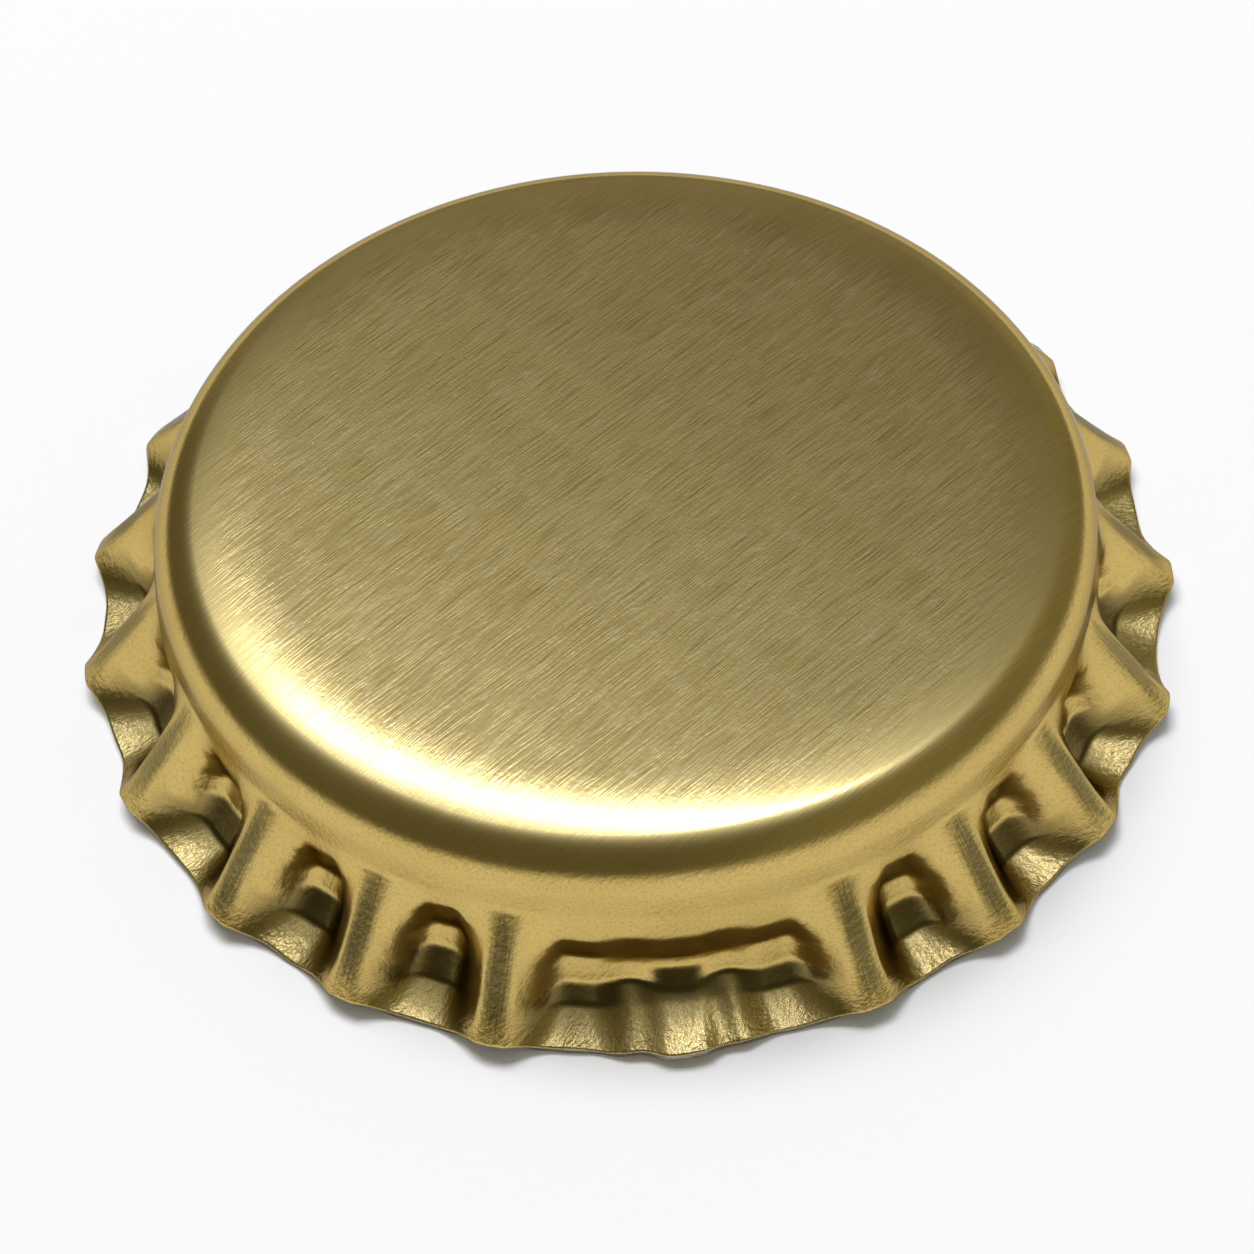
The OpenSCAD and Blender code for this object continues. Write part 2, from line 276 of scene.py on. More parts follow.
# a closed skin turned about the axis, from rows of (radius, height) for each azimuth: a point is
# (radius x sine, -radius x cosine, height), and a fan of triangles closes each end at a pole
def turnedMesh(name, sections, azimuth, firstZ, lastZ):
    rows, columns = sections.shape[:2]
    a = np.radians(azimuth)[None, :]
    r, z = sections[..., 0], sections[..., 1]
    ring = np.stack([r * np.sin(a), -r * np.cos(a), z], -1).reshape(-1, 3)
    points = np.concatenate([ring, [[0, 0, firstZ], [0, 0, lastZ]]]) * mm
    i = np.arange(rows - 1)[:, None] * columns
    j = np.arange(columns)[None, :]
    jn = (j + 1) % columns
    quads = np.stack([i + j, i + columns + j, i + columns + jn, i + jn], -1).reshape(-1, 4)
    last = (rows - 1) * columns
    first = rows * columns
    j, jn = j[0], jn[0]
    fans = np.concatenate([
        np.stack([np.full(columns, first), j, jn], -1),
        np.stack([np.full(columns, first + 1), last + jn, last + j], -1)])
    mesh = bpy.data.meshes.new(name)
    mesh.from_pydata(points.tolist(), [], quads.tolist() + fans.tolist())
    mesh.polygons.foreach_set("use_smooth", np.ones(len(mesh.polygons), bool))
    mesh.update()
    piece = bpy.data.objects.new(name, mesh)
    bpy.context.scene.collection.objects.link(piece)
    return piece


# the flat sheet's coordinates as a UV map: the length of sheet from the middle, laid out at the azimuth and
# turned so that U runs along the brushing
def sheetMap(piece, name, lengths, azimuth, angle):
    a = np.radians(azimuth)[None, :]
    x = lengths * np.sin(a)
    y = -lengths * np.cos(a)
    t = np.radians(angle)
    flat = np.stack([x * np.cos(t) + y * np.sin(t), y * np.cos(t) - x * np.sin(t)], -1).reshape(-1, 2)
    flat = np.concatenate([flat, np.zeros((2, 2))])
    corners = np.empty(len(piece.data.loops), np.int32)
    piece.data.loops.foreach_get("vertex_index", corners)
    layer = piece.data.uv_layers.new(name=name)
    layer.data.foreach_set("uv", flat[corners].astype(np.float32).ravel())


# the shell's closed section at each azimuth: cup, wall and skirt on the outside, the cut edge, and the way
# back up on the inside; the wall's radius grows downwards by its height times the tangent of its slope
def shellSections(c, azimuth):
    wallR = boreR + c["sheet"]
    fluteZ = capHeight - c["wallDrop"]
    outer = skirtSections(c, azimuth, (wallR, fluteZ), 0, c["skirtRows"])
    inner = skirtSections(c, azimuth, (wallR, fluteZ), c["sheet"], c["innerRows"])
    # the cup is drawn in a little at the top, so that the sloping wall meets the skirt
    slant = np.tan(np.radians(c["wallSlope"]))
    lastR, lastZ = cupCurve(c, capHeight, wallR, 0, c["cupRows"])[-1]
    topR = 2 * wallR - lastR - (lastZ - fluteZ) * slant
    cupOut = cupCurve(c, capHeight, topR, 0, c["cupRows"])
    cupIn = cupCurve(c, capHeight, topR, c["sheet"], c["cupRowsInside"])[::-1]
    wallOut = np.array([[wallR - t * slant, fluteZ + t] for t in c["wallRows"]])
    t = c["wallRowInside"]
    wallIn = np.array([[wallR - c["sheet"] - t * slant, fluteZ + t]])
    above = np.repeat(np.concatenate([cupOut, wallOut])[:, None], c["columns"], 1)
    below = np.repeat(np.concatenate([wallIn, cupIn])[:, None], c["columns"], 1)
    edge = np.stack([outer[-1] + t * (inner[-1] - outer[-1]) for t in c["edgeRows"]])
    return np.concatenate([above, outer, edge, inner[::-1], below]), outer, len(above)


# length of sheet from the middle of the panel to each row: the running sum of the mean section's steps,
# which counts back down again past the cut edge
def sheetRun(sections, turnAt):
    middle = sections.mean(1)
    steps = np.linalg.norm(np.diff(middle, axis=0), axis=1)
    out = np.concatenate([[middle[0, 0]], middle[0, 0] + np.cumsum(steps)])
    return np.where(np.arange(len(out)) < turnAt, out, 2 * out[turnAt] - out)[:, None]


# shares of worn ridge crest, bare cut edge and painted shade in the creases, for the material: the wear is
# the ridge's narrow section times a half sine wave down the ridge, and the painted shade is a smooth step of
# the sheet's slope, where it runs back under the wall and where the pockets' floors begin
def shellShares(c, azimuth, outer, first, shape):
    turnAt = first + len(outer)
    off = ridgeOff(c, azimuth)
    crest = barSection(off, c["crestWearFlat"], c["crestWearFoot"], 1, c["flankSoft"])
    worn, cut, crease = np.zeros(shape), np.zeros(shape), np.zeros(shape)
    down = np.sin(np.linspace(0, np.pi, len(outer)))[:, None] ** c["crestWearPower"]
    worn[first:turnAt] = down * crest
    cut[turnAt:turnAt + len(c["edgeRows"])] = 1
    move = np.gradient(outer, axis=0)
    slope = np.degrees(np.arctan2(move[..., 0], -move[..., 1]))
    ridge = barSection(off, c["ridgeFlat"], c["ridgeFoot"], c["ridgePower"], c["flankSoft"])
    # painted shade: darkens the sheet where it runs back under the wall and in the pockets' bends, off the
    # ridges
    under = c["creaseUnder"] * ease(-slope / c["creaseFull"])
    bend = ease((slope - c["bendFrom"]) / (c["bendFull"] - c["bendFrom"]))
    bend = bend * (1 - ease((slope - c["bendFade"]) / (c["bendTo"] - c["bendFade"]))) * (1 - ridge)
    crease[first:turnAt] = np.maximum(under, bend)
    return {"wornCrest": worn, "cutEdge": cut, "crease": crease}


# the shell: its sections turned about the axis, with the sheet's coordinates and the material's shares
def makeShell(c):
    azimuth = np.arange(c["columns"]) * 360 / c["columns"]
    sections, outer, first = shellSections(c, azimuth)
    piece = turnedMesh("crown_shell_skin", sections, azimuth, capHeight, capHeight - c["sheet"])
    run = sheetRun(sections, first + len(outer))
    sheetMap(piece, "sheetGrain", run, azimuth, c["grainAngle"])
    for name, share in shellShares(c, azimuth, outer, first, sections.shape[:2]).items():
        layer = piece.data.attributes.new(name, "FLOAT", "POINT")
        layer.data.foreach_set("value", np.concatenate([share.ravel(), [0, 0]]).astype(np.float32))
    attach(piece, "root")
    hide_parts("crown_shell")
    return piece


shell = makeShell(shellSizes)
print("shell made, with", len(shell.data.polygons), "faces")

linerSizes = {
    "gap": 0.03,                # between the liner and the sheet that it is moulded into
    "wallGap": 0.04,            # and how much further in its bends lie than the shell's
    "endZ": 5.05,               # where its upper side leaves the shell
    "filmZ": 5.25,              # lower face of the thin middle
    "bandZ": 4.85,              # face of the sealing band
    "bandInner": 9.9,
    "bandOuter": 12.6,
    "slopeWidth": 0.7,
    "edgeRound": 0.35,          # width over which the band's outer edge rounds off
    "ripple": 0.012,            # the moulded middle's faint rings
    "rippleWidth": 1.1,
    "innermost": 0.05,          # radius of the last row about the axis
    "columns": 300,
    "rows": 90,
    "topRows": (8, 12, 12, 10),
}


# the liner: its upper side follows the shell, and its lower side is the thin middle's height, let down by a
# smooth step to the sealing band, whose outer edge is a quarter ellipse; faint rings are a cosine of the
# radius
def makeLiner(c, sheet):
    azimuth = np.arange(c["columns"]) * 360 / c["columns"]
    wallR = boreR + sheet["sheet"] - c["wallGap"]
    top = cupCurve(sheet, capHeight, wallR, sheet["sheet"] + c["gap"], c["topRows"])
    top = top[top[:, 1] > c["endZ"]]
    r = np.linspace(c["bandOuter"] + c["edgeRound"], c["innermost"], c["rows"])
    down = ease((r - c["bandInner"] + c["slopeWidth"]) / c["slopeWidth"])
    z = c["filmZ"] - (c["filmZ"] - c["bandZ"]) * down
    z = z + (1 - down) * c["ripple"] * np.cos(2 * np.pi * r / c["rippleWidth"])
    past = np.clip((r - c["bandOuter"]) / c["edgeRound"], 0, 1)
    z = z + (c["endZ"] - c["bandZ"]) * (1 - np.sqrt(1 - past ** 2))
    curve = np.concatenate([top, np.stack([r, z], -1)])
    piece = turnedMesh("liner_disc", np.repeat(curve[:, None], c["columns"], 1), azimuth, top[0, 1], z[-1])
    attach(piece, "root")
    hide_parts("liner")
    return piece


liner = makeLiner(linerSizes, shellSizes)
print("liner made, with", len(liner.data.polygons), "faces")

# runs are lengths of sheet from the middle of the panel, in mm; noise sizes are along and across the
# brushing, in mm; noise details are Blender's detail, or its detail and roughness; ranges are the noise's
# values between which a mark grows from nothing to full
goldFinish = {
    "lightGold": (0.63, 0.455, 0.14),
    "deepGold": (0.45, 0.315, 0.08),
    "paleGold": (0.80, 0.67, 0.36),
    # painted shade, laid on the creases under the wall and on the pockets' bends
    "creaseGold": (0.12, 0.085, 0.02),
    "wornGold": (0.27, 0.21, 0.07),
    "bareSteel": (0.55, 0.52, 0.45),
    "edgeTint": (0.4, 0.38, 0.34),      # how much of its light the metal keeps where it is seen edge on
    "roughness": 0.13,
    "lineRoughness": 0.2,       # in the streaks' fine lines
    "skirtRoughness": 0.25,
    "floorRoughness": 0.24,
    "wornRoughness": 0.22,
    "anisotropy": 0.45,
    "anisotropyTurn": 0.25,     # share of a turn from the sheet's U direction
    "coat": 0.25,
    "coatRoughness": 0.16,
    "skirtFrom": 12.9,          # run at which the drawn skirt begins
    "skirtTo": 13.7,
    "floorFrom": 18.0,          # run at which the pockets' floors begin
    "floorTo": 19.4,
    "fadeFrom": 11.0,           # run at which the brushing starts to fade into the polished edge
    "fadeTo": 12.2,
    "fade": 0.35,
    "skirtStreaks": 0.3,        # share of the streaks that is left on the drawn skirt
    "streakLength": 1.8,
    "streakWidth": 0.033,
    "streakDepth": 2.6e-6,      # height of the streaks' relief, in metres
    "streakWave": 0.03,         # how far the streaks wander off their line, in mm
    "streakDetail": 1.0,
    "waveSize": (0.9, 0.7),
    "otherAt": (57.3, 31.7, 0),         # where the second noise of the fine streaks is taken
    "fineMiddle": 0.7,          # the fine streaks are (one noise - the other + middle) x scale
    "fineScale": 0.72,
    "fineShare": 0.7,           # shares of the relief
    "coarseShare": 0.12,
    "speckShare": 0.7,
    "scratchShare": 0.5,
    "coarseStretch": (1.8, 2.4),        # beside the fine streaks
    "coarseRange": (0.4, 0.7),
    "speckSize": (0.14, 0.11),
    "scratchSize": (2.0, 0.12),
    "scratchDetail": 0.0,
    "scratchWidth": 0.08,       # as a share of the noise's range
    "lineRange": (0.54, 0.63),
    "lineShare": 0.3,           # strength of the fine streaks' lines beside the scratches'
    "linePale": 0.18,           # how much paler the gold looks on the lines
    "betweenRange": (0.38, 0.48),       # of the fine streaks' noise, below which is between them
    "betweenTone": 0.75,        # how much deeper the gold looks there
    "blotchSize": (3.4, 2.6),
    "blotchDetail": (3.0, 0.6),
    "blotchRange": (0.3, 0.7),
    "blotchTone": 0.2,
    "fleckSize": (0.11, 0.07),
    "fleckRange": (0.5, 0.66),
    "fleckTone": 0.45,          # how much deeper the gold looks in the skirt's flecks
    "crinkleSize": (0.24, 0.15),
    "crinkleDetail": (3.0, 0.6),
    "crinkleDepth": 10.0,       # in thousandths of a millimetre
    "floorCrinkle": 16.0,       # added in the floors of the pockets
    "rubRadius": 16.0,          # radius on which the worn crests' marks are laid round the skirt
    "rubSize": (0.09, 1.3),     # round the skirt and down it
    "rubDetail": (3.0, 0.65),
    "rubShare": 0.9,
    "rubRange": (0.75, 1.35),
}


# a shader node with its settings and inputs; an input may be a value or another node's output
def node(tree, kind, settings=None, **inputs):
    n = tree.nodes.new(kind)
    for key, value in (settings or {}).items():
        setattr(n, key, value)
    for key, value in inputs.items():
        join(tree, value, n.inputs[key.replace("_", " ")])
    return n


# a value set on a socket, or an output linked to it
def join(tree, value, socket):
    if isinstance(value, bpy.types.NodeSocket):
        tree.links.new(value, socket)
    else:
        socket.default_value = value


# arithmetic on two values or outputs
def sums(tree, operation, a, b=0.5):
    n = node(tree, "ShaderNodeMath", {"operation": operation})
    join(tree, a, n.inputs[0])
    join(tree, b, n.inputs[1])
    return n.outputs[0]


# smooth step of a value from one range to another
def ramp(tree, value, fromLow, fromHigh, toLow=0.0, toHigh=1.0):
    n = node(tree, "ShaderNodeMapRange", {"interpolation_type": "SMOOTHSTEP"}, Value=value, From_Min=fromLow,
             From_Max=fromHigh, To_Min=toLow, To_Max=toHigh)
    return n.outputs[0]


# noise on a vector stretched by a size along each axis: one cell is about that size
def grain(tree, vector, size, detail=2.0, roughness=0.5):
    scaled = node(tree, "ShaderNodeMapping", {"vector_type": "POINT"}, Vector=vector,
                  Scale=(1 / size[0], 1 / size[1], 1.0))
    return node(tree, "ShaderNodeTexNoise", {"noise_dimensions": "2D"}, Vector=scaled.outputs[0], Scale=1.0,
                Detail=detail, Roughness=roughness).outputs["Fac"]


# sum of a vector and another one
def shifted(tree, vector, by):
    n = node(tree, "ShaderNodeVectorMath", {"operation": "ADD"})
    join(tree, vector, n.inputs[0])
    join(tree, by, n.inputs[1])
    return n.outputs[0]


# sum of values or outputs, each with a weight
def weighed(tree, *pairs):
    parts = [sums(tree, "MULTIPLY", value, weight) for value, weight in pairs]
    whole = parts[0]
    for part in parts[1:]:
        whole = sums(tree, "ADD", whole, part)
    return whole


# mix of two colours by a share
def blend(tree, share, a, b):
    n = node(tree, "ShaderNodeMix", {"data_type": "RGBA"})
    join(tree, share, n.inputs[0])
    join(tree, a, n.inputs[6])
    join(tree, b, n.inputs[7])
    return n.outputs[2]


# brushed tinplate: the relief is a weighed sum of streaks, specks and scratches along the brushing, and of
# an even crinkle on the skirt; the colour starts at light gold and is mixed in turn with the deep, pale,
# painted crease shade and worn ones by the share of each mark
def makeGold(f):
    material = bpy.data.materials.new("brushedGoldTinplate")
    material.use_nodes = True
    tree = material.node_tree
    shader = tree.nodes["Principled BSDF"]
    sheet = node(tree, "ShaderNodeUVMap", {"uv_map": "sheetGrain"}).outputs[0]
    # the streaks wander: a slow noise moves the sheet's coordinates across the brushing
    wave = sums(tree, "SUBTRACT", grain(tree, sheet, f["waveSize"]), 0.5)
    wave = sums(tree, "MULTIPLY", wave, 2 * f["streakWave"])
    brushed = shifted(tree, sheet, node(tree, "ShaderNodeCombineXYZ", Y=wave).outputs[0])
    # the run tells the panel from the skirt and its pockets' floors
    run = node(tree, "ShaderNodeVectorMath", {"operation": "LENGTH"})
    join(tree, sheet, run.inputs[0])
    run = run.outputs["Value"]
    skirt = ramp(tree, run, f["skirtFrom"], f["skirtTo"])
    floor = ramp(tree, run, f["floorFrom"], f["floorTo"])
    panel = sums(tree, "SUBTRACT", 1.0, sums(tree, "MULTIPLY", skirt, 1 - f["skirtStreaks"]))
    panel = sums(tree, "MULTIPLY", panel, ramp(tree, run, f["fadeFrom"], f["fadeTo"], 1.0, f["fade"]))
    # scratches are the lines where a noise crosses its middle value; 1 on the line, 0 past its width
    scratch = grain(tree, brushed, f["scratchSize"], f["scratchDetail"])
    scratch = sums(tree, "ABSOLUTE", sums(tree, "SUBTRACT", scratch, 0.5))
    scratch = ramp(tree, scratch, 0.0, f["scratchWidth"], 1.0, 0.0)
    # coarse and fine streaks, and a grain of specks that have no direction
    streak = (f["streakLength"], f["streakWidth"])
    coarse = (streak[0] * f["coarseStretch"][0], streak[1] * f["coarseStretch"][1])
    coarse = ramp(tree, grain(tree, brushed, coarse, f["streakDetail"]), *f["coarseRange"])
    one = grain(tree, brushed, streak, f["streakDetail"])
    other = grain(tree, shifted(tree, brushed, f["otherAt"]), streak, f["streakDetail"])
    fine = sums(tree, "ADD", sums(tree, "SUBTRACT", one, other), f["fineMiddle"])
    fine = sums(tree, "MULTIPLY", fine, f["fineScale"])
    speck = grain(tree, sheet, f["speckSize"], f["streakDetail"])
    relief = weighed(tree, (coarse, f["coarseShare"]), (fine, f["fineShare"]),
                     (scratch, f["scratchShare"]), (speck, f["speckShare"]))
    panelBump = node(tree, "ShaderNodeBump", Strength=panel, Distance=f["streakDepth"], Height=relief)
    line = sums(tree, "MULTIPLY", ramp(tree, fine, *f["lineRange"]), f["lineShare"])
    line = sums(tree, "MULTIPLY", sums(tree, "MAXIMUM", line, scratch), panel)
    # the drawn skirt is crinkled, and its pockets' floors more so
    crinkle = grain(tree, sheet, f["crinkleSize"], *f["crinkleDetail"])
    crinkle = sums(tree, "MULTIPLY", crinkle,
                   weighed(tree, (skirt, f["crinkleDepth"]), (floor, f["floorCrinkle"])))
    bump = node(tree, "ShaderNodeBump", Strength=1.0, Distance=1e-6, Height=crinkle,
                Normal=panelBump.outputs[0])
    # deeper gold in blotches, between the streaks and in the skirt's flecks, and paler gold on the lines
    blotch = grain(tree, sheet, f["blotchSize"], *f["blotchDetail"])
    blotch = ramp(tree, blotch, *f["blotchRange"], 0.0, f["blotchTone"])
    between = sums(tree, "MULTIPLY", ramp(tree, fine, *f["betweenRange"], f["betweenTone"], 0.0), panel)
    flecks = ramp(tree, grain(tree, sheet, f["fleckSize"]), *f["fleckRange"], 0.0, f["fleckTone"])
    tone = sums(tree, "ADD", sums(tree, "ADD", blotch, between), sums(tree, "MULTIPLY", skirt, flecks))
    colour = blend(tree, tone, (*f["lightGold"], 1), (*f["deepGold"], 1))
    colour = blend(tree, sums(tree, "MULTIPLY", line, f["linePale"]), colour, (*f["paleGold"], 1))
    # painted shade in the creases and the pockets' bends, mixed into the colour
    crease = node(tree, "ShaderNodeAttribute", {"attribute_name": "crease"}).outputs["Fac"]
    colour = blend(tree, crease, colour, (*f["creaseGold"], 1))
    # worn crests are greyer, with marks that run down the skirt, and the cut edge shows the steel
    flat = node(tree, "ShaderNodeSeparateXYZ", Vector=sheet).outputs
    around = sums(tree, "MULTIPLY", sums(tree, "ARCTAN2", flat[1], flat[0]), f["rubRadius"])
    rubbed = node(tree, "ShaderNodeCombineXYZ", X=around, Y=run).outputs[0]
    rubbed = sums(tree, "MULTIPLY", grain(tree, rubbed, f["rubSize"], *f["rubDetail"]), f["rubShare"])
    worn = node(tree, "ShaderNodeAttribute", {"attribute_name": "wornCrest"}).outputs["Fac"]
    worn = ramp(tree, sums(tree, "ADD", worn, rubbed), *f["rubRange"])
    colour = blend(tree, worn, colour, (*f["wornGold"], 1))
    cut = node(tree, "ShaderNodeAttribute", {"attribute_name": "cutEdge"}).outputs["Fac"]
    colour = blend(tree, cut, colour, (*f["bareSteel"], 1))
    # each mark adds its own roughness less that of the surface under it
    rough = weighed(tree, (line, f["lineRoughness"] - f["roughness"]),
                    (skirt, f["skirtRoughness"] - f["roughness"]),
                    (floor, f["floorRoughness"] - f["skirtRoughness"]),
                    (worn, f["wornRoughness"] - f["skirtRoughness"]))
    rough = sums(tree, "ADD", f["roughness"], rough)
    tangent = node(tree, "ShaderNodeTangent", {"direction_type": "UV_MAP", "uv_map": "sheetGrain"})
    join(tree, colour, shader.inputs["Base Color"])
    join(tree, rough, shader.inputs["Roughness"])
    join(tree, bump.outputs[0], shader.inputs["Normal"])
    join(tree, tangent.outputs[0], shader.inputs["Tangent"])
    shader.inputs["Metallic"].default_value = 1
    shader.inputs["Specular Tint"].default_value = (*f["edgeTint"], 1)
    shader.inputs["Anisotropic"].default_value = f["anisotropy"]
    shader.inputs["Anisotropic Rotation"].default_value = f["anisotropyTurn"]
    shader.inputs["Coat Weight"].default_value = f["coat"]
    shader.inputs["Coat Roughness"].default_value = f["coatRoughness"]
    return material


shell.data.materials.append(makeGold(goldFinish))
print("brushed gold made")

linerFinish = {
    "colour": (0.80, 0.79, 0.74),
    "shade": (0.765, 0.755, 0.70),      # in faint cloudy patches
    "cloudSize": 0.0024,        # this and the grain's sizes in metres
    "cloudDetail": 4.0,
    "cloudRange": (0.4, 0.7),
    "glossRange": (0.3, 0.7),
    "roughness": 0.4,
    "roughnessStray": 0.06,
    "grainSize": 0.00022,
    "grainDetail": 2.0,
    "grainDepth": 5e-6,
}


# matt moulded compound: its colour and roughness are smooth steps of a cloudy noise, and a fine noise is
# its relief
def makeCompound(f):
    material = bpy.data.materials.new("paleLinerCompound")
    material.use_nodes = True
    tree = material.node_tree
    shader = tree.nodes["Principled BSDF"]
    place = node(tree, "ShaderNodeTexCoord").outputs["Object"]
    clouds = node(tree, "ShaderNodeTexNoise", Vector=place, Scale=1 / f["cloudSize"],
                  Detail=f["cloudDetail"]).outputs["Fac"]
    fine = node(tree, "ShaderNodeTexNoise", Vector=place, Scale=1 / f["grainSize"],
                Detail=f["grainDetail"]).outputs["Fac"]
    colour = blend(tree, ramp(tree, clouds, *f["cloudRange"]), (*f["colour"], 1), (*f["shade"], 1))
    low, high = f["roughness"] - f["roughnessStray"], f["roughness"] + f["roughnessStray"]
    bump = node(tree, "ShaderNodeBump", Strength=1.0, Distance=f["grainDepth"], Height=fine)
    join(tree, colour, shader.inputs["Base Color"])
    join(tree, ramp(tree, clouds, *f["glossRange"], low, high), shader.inputs["Roughness"])
    join(tree, bump.outputs[0], shader.inputs["Normal"])
    return material


liner.data.materials.append(makeCompound(linerFinish))
print("liner compound made")

cameraSizes = {
    "distance": 130.0,          # from the aim to the lens, in mm
    "elevation": 50.739,
    "roll": 2.691,
    "aim": (-0.084, -2.062, 2.0),
    "focalPixels": 4496.1,      # focal length in pixels of a picture this wide
    "pictureWidth": 1254,
    "sensor": 36.0,             # mm
    "nearest": 0.01,            # metres
}


# a frame of unit vectors as a matrix: its columns are the right, up and back directions, and the place
def placed(right, up, back, at):
    return Matrix([[right[i], up[i], back[i], at[i]] for i in range(3)] + [[0, 0, 0, 1]])


# the camera stands back from its aim along its elevation and is turned about its line of sight by the roll;
# its focal length is the sensor's width times the pixels over the picture's width
def makeCamera(c):
    e, roll = np.radians(c["elevation"]), np.radians(c["roll"])
    back = np.array([0, -np.cos(e), np.sin(e)])
    place = (np.array(c["aim"]) + c["distance"] * back) * mm
    right = np.array([1.0, 0, 0])
    up = np.cross(back, right)
    across = np.cos(roll) * right - np.sin(roll) * up
    upward = np.sin(roll) * right + np.cos(roll) * up
    camera = bpy.data.objects.new("camera", bpy.data.cameras.new("camera"))
    camera.matrix_world = placed(across, upward, back, place)
    camera.data.sensor_width = c["sensor"]
    camera.data.lens = c["focalPixels"] / c["pictureWidth"] * c["sensor"]
    camera.data.clip_start = c["nearest"]
    bpy.context.scene.collection.objects.link(camera)
    bpy.context.scene.camera = camera


makeCamera(cameraSizes)

studio = {
    "floorHalf": 0.5,           # metres
    "floorColour": (0.94, 0.94, 0.94),
    "floorWhite": 0.045,        # share of plain white that the camera and the metal see in the floor
    "bandTilt": 0.2,            # the pale surroundings reach higher in front than behind
    "bandLow": -0.1,
    "bandHigh": 0.28,
    "roomLight": 0.145,
    "roomTint": (1.0, 0.98, 0.7),
    "sideLight": 0.1,           # added where the room lies to the right
    "sideFrom": 0.1,
    "sideTo": 0.6,
    "backLight": 0.16,          # added where the room lies behind the cap
    "backTint": (1.0, 1.0, 1.1),
    "backFrom": 0.7,
    "backTo": 0.96,
    "glowLight": 2.0,           # soft glow around the softbox
    "glowTint": (1.0, 1.15, 1.65),
    "glowHalf": 0.31,           # sine of half the angle along the softbox at which it begins to fall
    "glowReach": 0.136,         # and sine of the angle over which it falls to a third
    "glowEnds": 1.6,            # how much faster it falls past the ends than past the sides
    "boxToward": (-0.015, 0.392, 0.92),
    "boxTurn": -29.0,           # degrees about the way toward it
    "boxDistance": 0.6,         # this and the sizes in metres
    "boxSize": (0.33, 0.05),
    "boxPower": 0.25,
    "boxTint": (1.0, 1.08, 1.6),
    "fillToward": (-0.18, 0.38, 0.9),
    "fillDistance": 1.6,
    "fillSize": (1.07, 0.88),
    "fillPower": 20.2,
    "fillTint": (1.0, 0.965, 0.9),
}


# a white bench: a square, matt apart from its share of plain white
def makeFloor(c):
    mesh = bpy.data.meshes.new("floor")
    h = c["floorHalf"]
    mesh.from_pydata([(-h, -h, 0), (h, -h, 0), (h, h, 0), (-h, h, 0)], [], [(0, 1, 2, 3)])
    floor = bpy.data.objects.new("floor", mesh)
    bpy.context.scene.collection.objects.link(floor)
    material = bpy.data.materials.new("whiteBench")
    material.use_nodes = True
    tree = material.node_tree
    tree.nodes.clear()
    ray = node(tree, "ShaderNodeLightPath").outputs
    mirrored = sums(tree, "MAXIMUM", ray["Is Glossy Ray"], ray["Is Transmission Ray"])
    seen = sums(tree, "MAXIMUM", ray["Is Camera Ray"], mirrored)
    matte = node(tree, "ShaderNodeBsdfDiffuse", Color=(*c["floorColour"], 1))
    white = node(tree, "ShaderNodeEmission", Color=(1, 1, 1, 1), Strength=1.0)
    mix = node(tree, "ShaderNodeMixShader")
    join(tree, sums(tree, "MULTIPLY", seen, c["floorWhite"]), mix.inputs[0])
    join(tree, matte.outputs[0], mix.inputs[1])
    join(tree, white.outputs[0], mix.inputs[2])
    node(tree, "ShaderNodeOutputMaterial", Surface=mix.outputs[0])
    mesh.materials.append(material)


# a lamp's directions: toward it, along its length and across it; the last two are the level and the upright
# one, turned about the first by an angle
def lampAxes(toward, angle):
    toward = np.array(toward) / np.linalg.norm(toward)
    side = np.cross((0, 1, 0), toward)
    side = side / np.linalg.norm(side)
    up = np.cross(toward, side)
    t = np.radians(angle)
    return toward, np.cos(t) * side + np.sin(t) * up, np.cos(t) * up - np.sin(t) * side


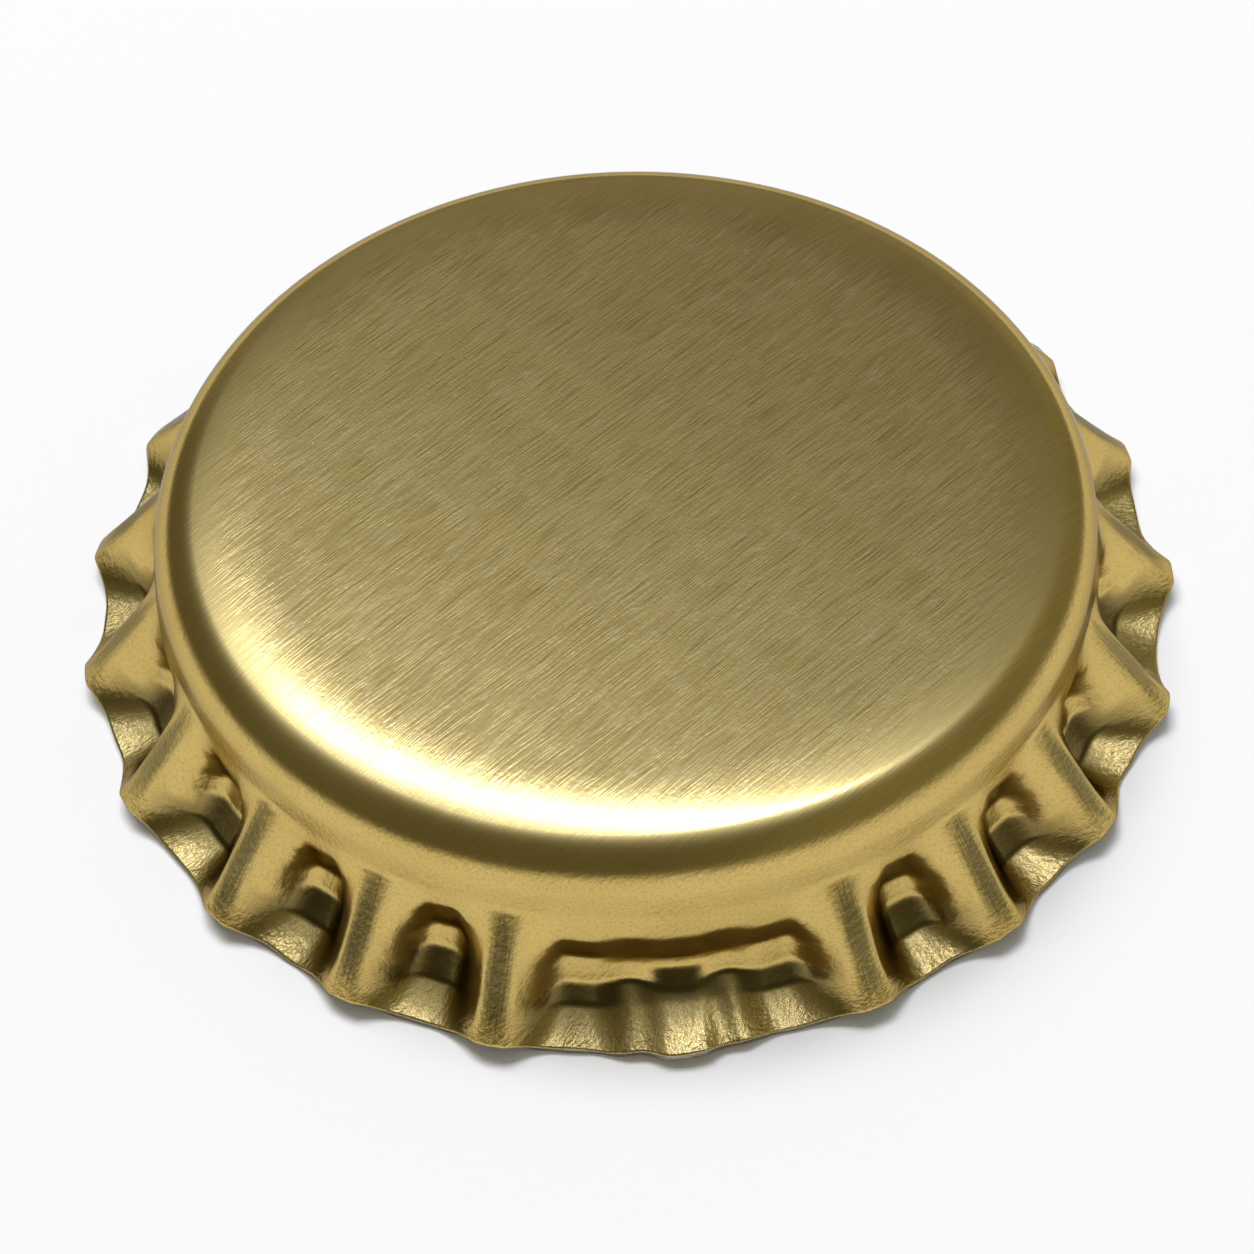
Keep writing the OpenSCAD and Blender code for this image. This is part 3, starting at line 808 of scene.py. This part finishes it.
# surroundings: an even room, lighter to the right and behind, with a glow round the softbox and a white band
# above the floor
def makeWorld(c):
    world = bpy.data.worlds.new("studio")
    bpy.context.scene.world = world
    world.use_nodes = True
    tree = world.node_tree
    tree.nodes.clear()
    place = node(tree, "ShaderNodeTexCoord").outputs["Generated"]

    # share of a direction that lies along an axis
    def along(axis):
        n = node(tree, "ShaderNodeVectorMath", {"operation": "DOT_PRODUCT"})
        join(tree, place, n.inputs[0])
        n.inputs[1].default_value = axis
        return n.outputs["Value"]

    back = ramp(tree, along((0, 1, 0)), c["backFrom"], c["backTo"])
    side = ramp(tree, along((1, 0, 0)), c["sideFrom"], c["sideTo"], 0.0, c["sideLight"])
    level = sums(tree, "ADD", c["roomLight"], side)
    level = sums(tree, "ADD", level, sums(tree, "MULTIPLY", back, c["backLight"]))
    tint = blend(tree, back, (*c["roomTint"], 1), (*c["backTint"], 1))
    room = node(tree, "ShaderNodeBackground", Strength=level, Color=tint)
    # the glow falls by exp(-distance / reach), measured from a line as long as the softbox
    long, wide = lampAxes(c["boxToward"], c["boxTurn"])[1:]
    past = sums(tree, "SUBTRACT", sums(tree, "ABSOLUTE", along(long)), c["glowHalf"])
    past = sums(tree, "MULTIPLY", sums(tree, "MAXIMUM", past, 0.0), c["glowEnds"])
    off = sums(tree, "ADD", sums(tree, "POWER", past, 2.0), sums(tree, "POWER", along(wide), 2.0))
    fall = sums(tree, "EXPONENT", sums(tree, "MULTIPLY", sums(tree, "SQRT", off), -1 / c["glowReach"]))
    glow = node(tree, "ShaderNodeBackground", Strength=sums(tree, "MULTIPLY", fall, c["glowLight"]),
                Color=(*c["glowTint"], 1))
    lit = node(tree, "ShaderNodeAddShader")
    join(tree, room.outputs[0], lit.inputs[0])
    join(tree, glow.outputs[0], lit.inputs[1])
    # the white that the camera, metal and glass see; metal and glass see it as a band above the floor
    band = ramp(tree, along((0, c["bandTilt"], 1)), c["bandLow"], c["bandHigh"], 1.0, 0.0)
    ray = node(tree, "ShaderNodeLightPath").outputs
    mirrored = sums(tree, "MAXIMUM", ray["Is Glossy Ray"], ray["Is Transmission Ray"])
    white = node(tree, "ShaderNodeBackground", Strength=1.0, Color=(1, 1, 1, 1))
    mix = node(tree, "ShaderNodeMixShader")
    seen = sums(tree, "MAXIMUM", ray["Is Camera Ray"], sums(tree, "MULTIPLY", band, mirrored))
    join(tree, seen, mix.inputs[0])
    join(tree, lit.outputs[0], mix.inputs[1])
    join(tree, white.outputs[0], mix.inputs[2])
    node(tree, "ShaderNodeOutputWorld", Surface=mix.outputs[0])


# an area lamp that faces the cap from distance x direction; one that the metal doesn't mirror only fills
def makeLamp(name, toward, angle, distance, size, power, tint, mirrored):
    lamp = bpy.data.lights.new(name, "AREA")
    lamp.color = tint
    lamp.shape = "RECTANGLE"
    lamp.size, lamp.size_y = size
    lamp.energy = power
    way, side, up = lampAxes(toward, angle)
    stand = bpy.data.objects.new(name, lamp)
    stand.matrix_world = placed(side, up, way, way * distance)
    stand.visible_glossy = mirrored
    bpy.context.scene.collection.objects.link(stand)


makeFloor(studio)
makeWorld(studio)
makeLamp("softbox", studio["boxToward"], studio["boxTurn"], studio["boxDistance"], studio["boxSize"],
         studio["boxPower"], studio["boxTint"], True)
makeLamp("fill", studio["fillToward"], 0.0, studio["fillDistance"], studio["fillSize"], studio["fillPower"],
         studio["fillTint"], False)
bpy.context.scene.view_settings.view_transform = "Standard"
print("floor, light and camera in place")
